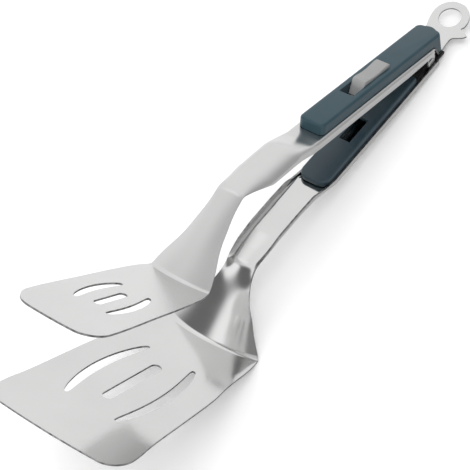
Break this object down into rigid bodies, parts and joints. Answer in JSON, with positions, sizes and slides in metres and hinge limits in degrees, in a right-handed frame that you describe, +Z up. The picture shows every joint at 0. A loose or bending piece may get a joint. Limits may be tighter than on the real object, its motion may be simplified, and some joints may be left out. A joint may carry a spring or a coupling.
{
  "type": "spatula tongs",
  "caption": "Kitchen tongs with slotted spatula blades on stamped steel arms, a sprung hinge, plastic grips, a sliding lock and a hanging loop.",
  "frame": {"origin": "under the middle of the bounding box, on the plane that the open tongs rest on", "axes": "+X from the blades towards the hinge and the hanging loop, +Z up, +Y to the side away from the loop's small hook"},
  "size_m": [0.3962, 0.0948, 0.1491],
  "materials": {
    "polished_steel": "polished",
    "teal_plastic": "matt",
    "grey_plastic": "matt",
    "black_plastic": "matt",
    "plated_steel": "plated"
  },
  "bodies": {
    "lower_arm_body": {"lower_arm": "polished_steel", "lower_grip": "teal_plastic", "insert_screw_front": "plated_steel", "insert_screw_rear": "plated_steel", "hinge_block": "black_plastic", "block_screw": "plated_steel", "hinge_spring": "plated_steel"},
    "upper_arm_body": {"upper_arm": "polished_steel", "upper_grip": "teal_plastic", "grip_screw_front": "plated_steel", "grip_screw_rear": "plated_steel", "hinge_pin": "plated_steel"},
    "lock_slider": {"lock_button": "grey_plastic", "lock_hook": "plated_steel", "lock_screw": "plated_steel", "lock_spring": "plated_steel"}
  },
  "joints": [
    {"name": "arm_hinge", "type": "hinge", "parent": "lower_arm_body", "child": "upper_arm_body", "pos_m": [0.14856, 0, 0.00747], "axis": [0, -1, 0], "range_deg": [0, 12.9], "stiffness_Nm_per_rad": 0.5, "springref_deg": -45.84, "deforming": ["hinge_spring"]},
    {"name": "lock_slide", "type": "slide", "parent": "upper_arm_body", "child": "lock_slider", "axis": [-0.9367, 0, 0.3501], "range_m": [0, 0.009]}
  ]
}
